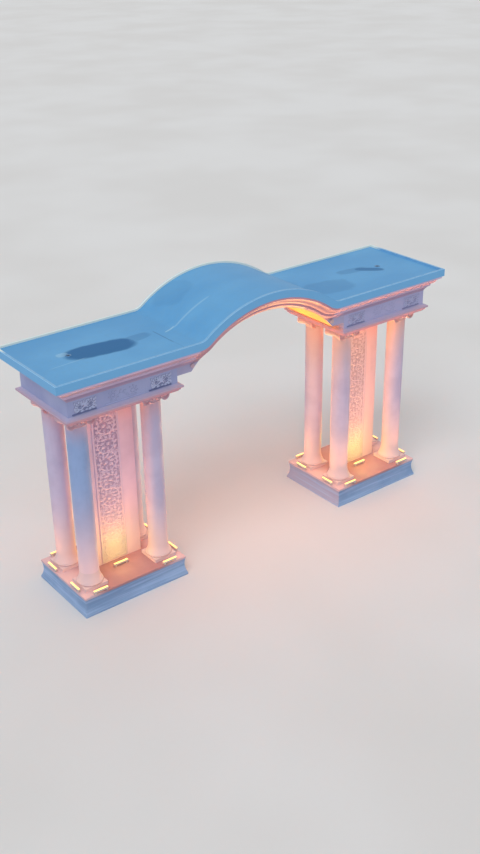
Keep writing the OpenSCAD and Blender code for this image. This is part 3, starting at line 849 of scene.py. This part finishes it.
# The leaves' length, width and height, by where they grow.
OUTER_LEAF = (0.135, 0.092, VINE_LIFT * 0.85)
INNER_LEAF = (0.092, 0.066, VINE_LIFT * 0.75)
WAVE_LEAF = (0.115, 0.078, VINE_LIFT * 0.8)
UNDER_LEAF = (0.098, 0.062, VINE_LIFT * 0.7)
CURL_LEAF = (0.09, 0.062, VINE_LIFT * 0.7)
EDGE_LEAF = (0.1, 0.062, VINE_LIFT * 0.7)


def carve_wave(bm):
    """One wave with its scroll, its corner curls and its leaves, round the origin."""
    flat = VINE_LIFT / VINE_STEM
    # The scroll winds in round a flower, and half a ring carries the stem on to the next wave.
    grow_scroll(bm, VINE_EYE, VINE_EYE_RADIUS, 0.07, 1.4, VINE_STEM, start_angle=VINE_EYE_START, flat=flat, steps=20)
    grow_scroll(bm, WAVE_MIDDLE, WAVE_RADIUS, WAVE_RADIUS, 0.5, VINE_STEM, start_angle=-90, hand=-1, flat=flat,
                steps=28)
    set_flower(bm, VINE_EYE, 0.062, VINE_LIFT * 0.9)
    # The outer leaves follow the scroll as it winds in. Smaller ones stand within it and on both sides of the ring.
    for angle in range(-76, 189, 33):
        wound_in = 0.008 + (angle - VINE_EYE_START) / 360 * 0.09
        set_notched_leaf(bm, polar(VINE_EYE, VINE_EYE_RADIUS - wound_in, angle), angle + 58, OUTER_LEAF)
    leaves_round(bm, VINE_EYE, 0.108, range(5, 312, 51), 34, INNER_LEAF)
    leaves_round(bm, WAVE_MIDDLE, WAVE_RADIUS, range(106, 257, 25), -58, WAVE_LEAF)
    leaves_round(bm, WAVE_MIDDLE, WAVE_RADIUS - 0.012, range(106, 257, 25), -146, UNDER_LEAF)
    # Curls with fans of leaves fill the corners on one side, and loose leaves those on the other.
    for way in (-1, 1):
        curl = (CURL_ASIDE, 0, way * CURL_UP)
        grow_scroll(bm, curl, 0.05, 0.022, 1.2, 0.015, start_angle=-way * 60, hand=way, flat=1.0, steps=12)
        leaves_round(bm, curl, 0.036, (118, 175, 232), 0, CURL_LEAF)
        for fan, out in ((-38, 0.27), (8, 0.295), (50, 0.31)):
            set_notched_leaf(bm, (-out, 0, way * 0.17 + 0.01), way * (90 + fan), EDGE_LEAF)


def stand_against(bm, x, wall_y, front):
    """Moves carving made round the origin onto a wall at wall_y, in front of it or behind it."""
    place = Matrix.Translation((x, -wall_y, 0))
    if not front:
        place = Matrix.Translation((x, wall_y, 0)) @ rotation(180, "Z")
    move(bm, place)


try_out("one wave", carve_wave)

# %% Stack the waves up both faces of both walls
STRIP_BORDER = 0.048
VINE_STEP = 0.5
strip_low, strip_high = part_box("left_carved_strips")
strip_half = (strip_high[0] - strip_low[0]) / 2 - STRIP_BORDER
vine_bottom = strip_low[2] + STRIP_BORDER
vine_top = strip_high[2] - STRIP_BORDER
vine_count = round((vine_top - vine_bottom) / VINE_STEP)
vine_step = (vine_top - vine_bottom) / vine_count
template = bmesh.new()
carve_wave(template)
for side in SIDES:
    vines = bmesh.new()
    for front in (True, False):
        vine = bmesh.new()
        for number in range(vine_count):
            wave = template.copy()
            if number % 2:
                move(wave, Matrix.Diagonal((-1, 1, 1, 1)))
            move(wave, Matrix.Translation((0, 0, vine_bottom + (number + 0.5) * vine_step)))
            join_into(vine, wave)
        keep_inside(vine, strip_half, vine_bottom, vine_top)
        stand_against(vine, pier_x[side], strip_ground, front)
        join_into(vines, vine)
    finish_piece(vines, f"{side}_strip_vines", strip_carving)
template.free()
print(vine_count, "waves on each strip, each", round(vine_step, 3), "m high and", round(2 * strip_half, 3), "wide")

# %% [markdown]
# ## Scrollwork on the frieze
# Over each column the frieze carries a small spray of carving on a ledge, painted dark for dirt and as the shadow
# under it: a large scroll, a small one that turns the other way, a stem between them and leaves all round. It faces
# the same way everywhere, so each spray is the same carving carried to another place. Between the two sprays lies a
# long swirl in very low relief, on a thin ledge of its own. The sprays take the place of the solids' plain plaques.

# %% Carve a spray
SPRAY_HALF = 0.30
SPRAY_HIGH = 0.30
SPRAY_LIFT = 0.019
SPRAY_STEM = 0.02
LARGE_EYE, SMALL_EYE, STEM_EYE = (0.14, 0, 0.005), (-0.14, 0, 0.005), (0, 0, -0.115)
LARGE_LEAF = (0.095, 0.066, SPRAY_LIFT * 0.8)
SMALL_LEAF = (0.092, 0.064, SPRAY_LIFT * 0.8)
BUD = (0.05, 0.032, SPRAY_LIFT * 0.6)
# Thin dark discs under the leaves, which paint shade into the holes between them: x, z, radius, depth.
SPRAY_SHADE_DISCS = ((0.14, 0.0, 0.122, 0.0060), (-0.145, 0.0, 0.112, 0.0054), (0.0, -0.03, 0.09, 0.0048),
                 (0.18, -0.06, 0.09, 0.0042), (-0.2, -0.05, 0.09, 0.0036))
# Loose leaves: x, z, heading, length.
SPRAY_LEAVES = ((-0.02, -0.03, 78, 0.15), (0.015, -0.02, 46, 0.10), (-0.055, 0.01, 118, 0.11),
                (0.02, 0.07, 66, 0.10), (-0.03, 0.08, 100, 0.09), (-0.05, -0.10, 200, 0.11),
                (0.07, -0.115, -6, 0.11), (0.17, -0.125, 12, 0.10), (0.25, -0.11, 40, 0.09),
                (-0.19, -0.11, 165, 0.12), (-0.27, -0.08, 100, 0.11), (-0.28, 0.08, 80, 0.09),
                (-0.19, 0.10, 60, 0.08), (0.26, 0.08, 70, 0.09), (-0.01, -0.12, 20, 0.09))


def carve_spray(bm):
    """A large and a small scroll with a stem and leaves, centred on the origin."""
    flat = SPRAY_LIFT / SPRAY_STEM
    for x, z, radius, depth in SPRAY_SHADE_DISCS:
        bmesh.ops.create_cone(bm, cap_ends=True, segments=24, radius1=radius, radius2=radius, depth=depth,
                              matrix=Matrix.Translation((x, 0, z)) @ rotation(90, "X"))
    grow_scroll(bm, LARGE_EYE, 0.1, 0.034, 1.4, SPRAY_STEM, start_angle=-115, flat=flat, steps=18)
    grow_scroll(bm, SMALL_EYE, 0.082, 0.03, 1.35, SPRAY_STEM, start_angle=-50, hand=-1, flat=flat, steps=18)
    grow_scroll(bm, STEM_EYE, 0.105, 0.09, 0.3, SPRAY_STEM, start_angle=145, hand=-1, flat=flat, steps=24)
    leaves_round(bm, LARGE_EYE, 0.09, range(-75, 170, 35), 44, LARGE_LEAF)
    leaves_round(bm, SMALL_EYE, 0.076, range(50, 260, 34), -46, SMALL_LEAF)
    leaves_round(bm, LARGE_EYE, 0.066, range(100, 400, 110), 130, BUD)
    for x, z, heading, length in SPRAY_LEAVES:
        set_notched_leaf(bm, (x, 0, z), heading, (length, length * 0.66, SPRAY_LIFT * 0.75))
    keep_inside(bm, SPRAY_HALF, -SPRAY_HIGH / 2, SPRAY_HIGH / 2)


try_out("one spray", carve_spray)

# %% Carve the long swirl
SWIRL_HALF = 0.44
SWIRL_LIFT = 0.008
SWIRL_STEM = 0.014
LEFT_EYE, RIGHT_EYE, BETWEEN_EYE = (-0.29, 0, 0.02), (0.24, 0, -0.01), (-0.07, 0, -0.16)
SHORT_LEAF = (0.08, 0.045, SWIRL_LIFT * 0.8)
LONG_LEAF = (0.12, 0.055, SWIRL_LIFT * 0.8)


def carve_swirl(bm):
    """Two far apart scrolls on one long waving stem, in low relief."""
    flat = SWIRL_LIFT / SWIRL_STEM
    grow_scroll(bm, LEFT_EYE, 0.095, 0.03, 1.3, SWIRL_STEM, start_angle=-40, hand=-1, flat=flat, steps=16)
    grow_scroll(bm, RIGHT_EYE, 0.105, 0.035, 1.3, SWIRL_STEM, start_angle=-140, flat=flat, steps=16)
    grow_scroll(bm, BETWEEN_EYE, 0.19, 0.17, 0.24, SWIRL_STEM, start_angle=132, hand=-1, flat=flat)
    leaves_round(bm, LEFT_EYE, 0.09, range(70, 270, 45), -50, SHORT_LEAF)
    leaves_round(bm, RIGHT_EYE, 0.10, range(-60, 150, 42), 50, SHORT_LEAF)
    for x, z, heading in ((-0.12, 0.04, 60), (-0.03, 0.04, 20), (0.05, -0.03, -30), (-0.15, -0.04, 215)):
        set_notched_leaf(bm, (x, 0, z), heading, LONG_LEAF)
    keep_inside(bm, SWIRL_HALF, -SPRAY_HIGH / 2, SPRAY_HIGH / 2)


try_out("one swirl", carve_swirl)

# %% Set the sprays, the swirls and their ledges on the friezes
LEDGE_HIGH = 0.024
LEDGE_PROUD = 0.026
LEDGE_ROOT = 0.004
SPRAY_LEDGE = (-0.36, 0.28)
SWIRL_LEDGE = (-0.52, 0.46)
plaque_low, plaque_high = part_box("left_frieze_plaques")
spray_middle = plaque_high[2] - SPRAY_HIGH / 2


def carve_ledge(ends, proud):
    """A narrow shelf from one end to the other, which stands proud of the frieze and is let into it a little."""
    shelf = rounded_block((ends[1] - ends[0], proud + LEDGE_ROOT, LEDGE_HIGH), 0.003, 2)
    move(shelf, Matrix.Translation((sum(ends) / 2, (LEDGE_ROOT - proud) / 2, plaque_low[2] + LEDGE_HIGH / 2)))
    return shelf


for side in SIDES:
    sprays, swirls, ledges = bmesh.new(), bmesh.new(), bmesh.new()
    over_columns = sorted({round(x, 4) for x, y in column_axes(side)})
    for carve, places, carvings, ends, proud, shelves in (
            (carve_spray, over_columns, sprays, SPRAY_LEDGE, LEDGE_PROUD, ledges),
            (carve_swirl, [pier_x[side]], swirls, SWIRL_LEDGE, SWIRL_LIFT, swirls)):
        for x, front in itertools.product(places, (True, False)):
            part = bmesh.new()
            carve(part)
            move(part, Matrix.Translation((0, 0, spray_middle)))
            shelf = carve_ledge(ends, proud)
            for whole, added in ((carvings, part), (shelves, shelf)):
                stand_against(added, x, -frieze_front, front)
                join_into(whole, added)
    spray = finish_piece(sprays, f"{side}_frieze_sprays", spray_carving)
    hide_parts(f"{side}_frieze_plaques")
    finish_piece(swirls, f"{side}_frieze_swirls", swirl_carving)
    finish_piece(ledges, f"{side}_frieze_ledges", ledge_dirt_and_shade)
print("sprays on each pier: 4, swirls: 2")

# %% [markdown]
# ## The capitals' spirals and eggs
# The solids give each capital its rolls, sunk ends and buttons. The ridge that winds from the rim to the button is
# finer, and so are the eggs on the round cushion under the band. The ridge is the same scroll tool with more turns.
# A capital looks alike from front and rear, so one face is carved and then turned round for the other.

# %% Wind the spirals and set the eggs
SCROLL_ASIDE = 0.265
SCROLL_HALF_LENGTH = 0.30
SCROLL_DROP = 0.151
SPIRAL_SUNK = 0.014
SPIRAL_STEM = 0.0085
EGG_RADIUS = 0.288
EGG_TURN = 19
EGG_DROP = 0.022
EGG_HALF_SIZES = (0.026, 0.018, 0.034)
scroll_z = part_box("left_capitals")[1][2] - SCROLL_DROP


def carve_capital_face(bm):
    """Two spirals and three eggs, for the face that looks along -Y. The origin is on the axis, at the scrolls."""
    face_y = -SCROLL_HALF_LENGTH + SPIRAL_SUNK
    for way in (-1, 1):
        grow_scroll(bm, (way * SCROLL_ASIDE, face_y, 0), 0.092, 0.036, 2.1, SPIRAL_STEM, start_angle=90,
                    hand=-way, steps=18, flat=1.4)
    for number in (-1, 0, 1):
        angle = math.radians(number * EGG_TURN)
        egg = (EGG_RADIUS * math.sin(angle), -EGG_RADIUS * math.cos(angle), -EGG_DROP)
        set_ball(bm, Matrix.Translation(egg), EGG_HALF_SIZES, around=10, along=6)


for side in SIDES:
    spirals = bmesh.new()
    for x, y in column_axes(side):
        for turned in (0, 180):
            part = bmesh.new()
            carve_capital_face(part)
            move(part, Matrix.Translation((x, y, scroll_z)) @ rotation(turned, "Z"))
            join_into(spirals, part)
    finish_piece(spirals, f"{side}_capital_spirals", wall_paint)
print("spirals on each capital: 4, eggs: 6, at", round(scroll_z, 3), "m")

# %% [markdown]
# ## Lit covers on the light bars
# A light bar is a metal trough with a rounded, milky cover. There are ten on each deck: two along each of its four
# sides, in line with the columns, and one before each face of the wall. The cover is a slim block whose top edges
# are well rounded, and copies of it are carried to all ten places.

# %% Where the bars lie
BAR_LENGTH = 0.43
BAR_WIDTH = 0.06
BAR_FROM_WALL = 0.235
bar_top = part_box("left_light_bars")[1][2]


def light_places(side):
    """Middle of each light bar of a pier and whether it lies along Y."""
    low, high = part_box(f"{side}_light_bars")
    places = []
    for x, y in column_axes(side):
        row = low[1] + BAR_WIDTH / 2 if y < 0 else high[1] - BAR_WIDTH / 2
        end = low[0] + BAR_WIDTH / 2 if x < pier_x[side] else high[0] - BAR_WIDTH / 2
        places.append(((x, row), False))
        places.append(((end, y), True))
    from_middle = strip_face + BAR_FROM_WALL + BAR_WIDTH / 2
    places += [((pier_x[side], way * from_middle), False) for way in (-1, 1)]
    return places


print("light bars on each pier:", len(light_places("left")))

# %% The glow and the covers
GLOW_STRENGTH = 2.2
COVER_SIZES = (BAR_LENGTH - 0.03, BAR_WIDTH - 0.014, 0.02)
COVER_ROUNDING = 0.014
COVER_RAISED = 0.004


def lamp_glow():
    material, tree, shader = start_finish("lamp_glow")
    dots = between(tree, clouds(tree, placed(tree), 26.0, detail=1), 0.35, 0.65)
    tone = mix(tree, dots, paint(255, 176, 92), paint(255, 196, 120))
    fill(tree, shader.inputs["Base Color"], tone)
    fill(tree, shader.inputs["Emission Color"], tone)
    shader.inputs["Emission Strength"].default_value = GLOW_STRENGTH
    shader.inputs["Roughness"].default_value = 0.4
    return material


glow = lamp_glow()
for side in SIDES:
    covers = bmesh.new()
    for (x, y), along_y in light_places(side):
        cover = rounded_block(COVER_SIZES, COVER_ROUNDING, 4, top_only=True)
        move(cover, Matrix.Translation((x, y, bar_top + COVER_RAISED)) @ rotation(90 if along_y else 0, "Z"))
        join_into(covers, cover)
    finish_piece(covers, f"{side}_lamp_covers", glow)

# %% [markdown]
# ## Outlet grates
# A rainwater outlet has a grate that keeps leaves out. The ring is a solid already, so three crossed bars with a
# round button over their middle are enough, sunk a little below the ring's top.

# %% Set the grates into the outlets
GRATE_BAR = (0.094, 0.008, 0.008)
GRATE_SINK = 0.006
BUTTON_SINK = 0.004
BUTTON_HALF_SIZES = (0.014, 0.014, 0.006)
grates = bmesh.new()
outlet_low, outlet_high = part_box("roof_outlets")
outlet_radius = (outlet_high[1] - outlet_low[1]) / 2
for x in (outlet_low[0] + outlet_radius, outlet_high[0] - outlet_radius):
    for angle in (0, 60, 120):
        bar = rounded_block(GRATE_BAR, 0.0015, 1)
        move(bar, Matrix.Translation((x, 0, outlet_high[2] - GRATE_SINK)) @ rotation(angle, "Z"))
        join_into(grates, bar)
    set_ball(grates, Matrix.Translation((x, 0, outlet_high[2] - BUTTON_SINK)), BUTTON_HALF_SIZES, around=12, along=6)
finish_piece(grates, "outlet_grates", grate_dark)
print("outlet radius", round(outlet_radius, 3), "m")

# %% [markdown]
# ## Floor and studio light
# The arch stands on a plain pale floor under an even studio sky, with one soft lamp from above the camera's left
# for shape. The world is white where the camera or a reflection sees it, and weaker where it only lights the arch,
# so that pale paint doesn't clip.

# %% Lay the floor
FLOOR_HALF = 160
floor_mesh = bmesh.new()
bmesh.ops.create_grid(floor_mesh, x_segments=4, y_segments=4, size=FLOOR_HALF)
floor_data = bpy.data.meshes.new("studio_floor")
floor_mesh.to_mesh(floor_data)
floor_mesh.free()
floor = bpy.data.objects.new("studio_floor", floor_data)
bpy.context.scene.collection.objects.link(floor)
floor_paint, tree, shader = start_finish("floor_paint")
soft = between(tree, clouds(tree, placed(tree), 0.12, detail=2), 0.3, 0.7)
fill(tree, shader.inputs["Base Color"], mix(tree, soft, paint(222, 220, 218), paint(228, 227, 226)))
shader.inputs["Roughness"].default_value = 0.9
floor_data.materials.append(floor_paint)
print("floor faces:", len(floor_data.polygons))

# %% Light the studio
SKY_LIGHT = (0.94, 0.97, 1.0, 1)
SKY_STRENGTH = 0.62
KEY_STRENGTH = 1.1
# Degrees. The key lamp's size is how large it looks from the arch, and a large lamp makes soft shadows.
KEY_SIZE = 35
KEY_TURN = (21, -32.4, 0)

world = bpy.data.worlds.new("studio")
bpy.context.scene.world = world
world.use_nodes = True
tree = world.node_tree
sky = tree.nodes["Background"]
rays = add(tree, "LightPath")
seen = sums(tree, "MAXIMUM", rays.outputs["Is Camera Ray"],
            sums(tree, "MAXIMUM", rays.outputs["Is Glossy Ray"], rays.outputs["Is Transmission Ray"]))
fill(tree, sky.inputs["Color"], mix(tree, seen, SKY_LIGHT, paint(226, 225, 224)))
fill(tree, sky.inputs["Strength"], between(tree, seen, 0, 1, SKY_STRENGTH, 1.0))

key = bpy.data.lights.new("key", "SUN")
key.energy = KEY_STRENGTH
key.angle = math.radians(KEY_SIZE)
key_lamp = bpy.data.objects.new("key", key)
key_lamp.rotation_euler = [math.radians(turned) for turned in KEY_TURN]
bpy.context.scene.collection.objects.link(key_lamp)
print("sky", SKY_STRENGTH, "key", KEY_STRENGTH)

# %% [markdown]
# ## The arch's own lamps
# The light bars are on, so warm lamps wash the columns and the vault, as the real bars do. They skip the floor,
# which stays plain: light linking leaves it out of all that they reach. One kind of lamp can't do it all:
# - wash: a flat lamp on each bar that looks upwards. The bars at the near pier's front corners are dim.
# - pool: a small lamp over each bar, which lights the foot of its column.
# - glow: a yellow lamp by each bar before a wall, which colours the foot of the wall.
# - inner and high: lamps on both sides of a wall, which light the columns' inner sides and the soffit.
# - passage: one lamp at each pier's passage side, for the light that comes back from the vault.

# %% Colours, strengths and places of the lamps
AMBER = (1.0, 0.37, 0.10)
GOLD = (1.0, 0.56, 0.18)
YELLOW = (1.0, 0.88, 0.06)
HONEY = (1.0, 0.72, 0.16)
PEACH = (1.0, 0.62, 0.46)
BAR_POWER = 7.0
WALL_BAR_POWER = 13.0
BAR_SPREAD = 80
WASH_RAISED, WASH_SMOOTH = 0.03, 0.4
POOL_POWER, POOL_RAISED, POOL_SIZE, POOL_SMOOTH = 9.0, 0.25, 0.1, 0.3
POOL_BY_DIM_BAR = 1.6
GLOW_POWER, GLOW_RAISED, GLOW_SIZE, GLOW_SMOOTH = 8.0, 0.4, 0.12, 0.2
GLOW_OUTWARDS = 1.2
INNER_POWER, INNER_RAISED = 6.0, 0.9
HIGH_POWER, HIGH_RAISED, HIGH_ASIDE = 6.0, 4.0, 0.3
PIER_SHARE = {"left": 1.0, "right": 1.3}
HIGH_SHARE = {"left": 0.6, "right": 2.2}
DIM_OUTER, DIM_INNER = 0.1, 0.2
FROM_WALL = 0.5
SOFT_SIZE = 0.3
# Height above the bars, power and colour.
PASSAGE_LIGHTS = {"left": (1.4, 9.0, PEACH), "right": (3.7, 14.0, HONEY)}
PASSAGE_ASIDE = 1.75
PASSAGE_FORWARD = 0.1

lamp_lit = bpy.data.collections.new("lamp_lit")
lamp_lit.objects.link(floor)
lamp_lit.collection_objects[0].light_linking.link_state = "EXCLUDE"

# %% [markdown]
# A real lamp's light thins out with the square of the distance. A long row of small lamps thins out more slowly, so
# most of these use the linear falloff, and a smooth value keeps paint close to a lamp from burning out.

# %% A helper that hangs one warm lamp


def hang_lamp(name, place, power, colour, smooth=1.0, falloff="Linear", size=SOFT_SIZE, kind="POINT"):
    """A warm lamp that skips the floor. size is the radius of a round one, which softens its shadows."""
    light = bpy.data.lights.new(name, kind)
    light.energy = power
    light.color = colour
    light.use_nodes = True
    thinning = add(light.node_tree, "LightFalloff")
    thinning.inputs["Strength"].default_value = 1.0
    thinning.inputs["Smooth"].default_value = smooth
    fill(light.node_tree, light.node_tree.nodes["Emission"].inputs["Strength"], thinning.outputs[falloff])
    if kind == "POINT":
        light.shadow_soft_size = size
    lamp = bpy.data.objects.new(name, light)
    lamp.location = place
    lamp.visible_camera = False
    lamp.light_linking.receiver_collection = lamp_lit
    bpy.context.scene.collection.objects.link(lamp)
    return lamp


def hang_wash(name, place, power, along_y):
    """A flat lamp as large as a light bar, looking up."""
    lamp = hang_lamp(name, place, power, AMBER, smooth=WASH_SMOOTH, kind="AREA")
    lamp.data.shape = "RECTANGLE"
    lamp.data.size, lamp.data.size_y = BAR_LENGTH, BAR_WIDTH
    lamp.data.spread = math.radians(BAR_SPREAD)
    lamp.rotation_euler = (math.pi, 0, math.pi / 2 if along_y else 0)


def brightness(side, x, y):
    """How bright a light bar is, as a share. Those at the near pier's front corners are dim."""
    if side == "right" or y > 0 or x == pier_x[side]:
        return 1.0
    return DIM_OUTER if x < pier_x[side] else DIM_INNER


print("dim bars:", sum(1 for (x, y), _ in light_places("left") if brightness("left", x, y) < 1))

# %% Switch the light bars on
for side in SIDES:
    share = PIER_SHARE[side]
    for number, ((x, y), along_y) in enumerate(light_places(side)):
        by_wall = x == pier_x[side]
        bright = brightness(side, x, y)
        wash = share * (WALL_BAR_POWER if by_wall else BAR_POWER) * bright
        pool = share * POOL_POWER * (POOL_BY_DIM_BAR if bright == DIM_OUTER else 1.0)
        hang_wash(f"{side}_wash_{number}", (x, y, bar_top + WASH_RAISED), wash, along_y)
        hang_lamp(f"{side}_pool_{number}", (x, y, bar_top + POOL_RAISED), pool, GOLD, POOL_SMOOTH, size=POOL_SIZE)
        if by_wall:
            hang_lamp(f"{side}_glow_{number}", (x, y * GLOW_OUTWARDS, bar_top + GLOW_RAISED), share * GLOW_POWER,
                      YELLOW, GLOW_SMOOTH, "Quadratic", GLOW_SIZE)
    inwards = -math.copysign(1, pier_x[side])
    for way in (-1, 1):
        y = way * FROM_WALL
        hang_lamp(f"{side}_inner_{way}", (pier_x[side], y, bar_top + INNER_RAISED), share * INNER_POWER, AMBER)
        hang_lamp(f"{side}_high_{way}", (pier_x[side] + inwards * HIGH_ASIDE, y, bar_top + HIGH_RAISED),
                  HIGH_SHARE[side] * HIGH_POWER, HONEY, falloff="Quadratic")
    height, power, colour = PASSAGE_LIGHTS[side]
    place = (pier_x[side] + inwards * PASSAGE_ASIDE, -PASSAGE_FORWARD, bar_top + height)
    hang_lamp(f"{side}_passage", place, power, colour)

# %% [markdown]
# ## The view
# The view settings stay plain.

# %% Set the view
bpy.context.scene.view_settings.view_transform = "Standard"
